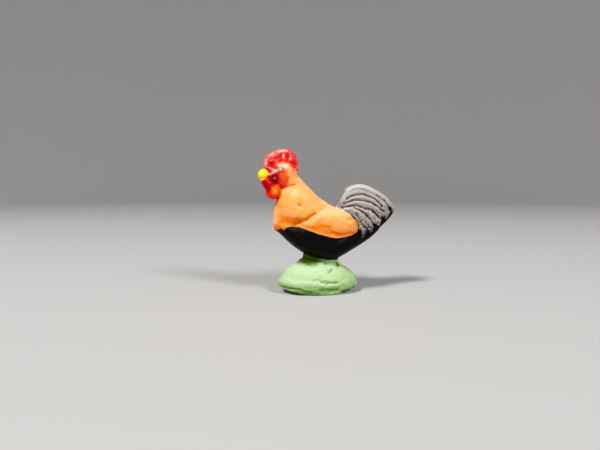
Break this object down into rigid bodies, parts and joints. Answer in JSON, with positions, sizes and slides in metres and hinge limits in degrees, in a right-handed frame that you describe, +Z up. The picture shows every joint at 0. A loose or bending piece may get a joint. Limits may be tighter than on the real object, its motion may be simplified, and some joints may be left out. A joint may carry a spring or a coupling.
{
  "type": "moulded clay rooster figurine",
  "caption": "Small hand-painted moulded clay rooster standing on a green mound, with a rounded comb and an arched sickle tail.",
  "frame": {"origin": "middle of the mound's flat underside, on the surface that the figurine stands on", "axes": "+Z up; -X ahead of the rooster, past its beak; -Y to the rooster's left"},
  "size_m": [0.0296, 0.0106, 0.03],
  "materials": {
    "green_paint": "matte pale green paint on clay",
    "black_paint": "satin black paint on clay",
    "orange_paint": "satin orange paint on clay",
    "grey_paint": "silver grey paint dry-brushed over black on clay",
    "red_paint": "glossy red paint on clay",
    "yellow_paint": "glossy yellow paint on clay",
    "eye_paint": "glossy black paint dot"
  },
  "bodies": {
    "root": {"mound": "green_paint", "leg_right": "green_paint", "leg_left": "green_paint", "underbody": "black_paint", "back": "orange_paint", "wing_left": "orange_paint", "wing_right": "orange_paint", "hackle": "orange_paint", "neck": "orange_paint", "tail": "grey_paint", "head": "red_paint", "comb": "red_paint", "wattle_left": "red_paint", "wattle_right": "red_paint", "beak": "yellow_paint", "eye_left": "eye_paint", "eye_right": "eye_paint"}
  },
  "joints": []
}
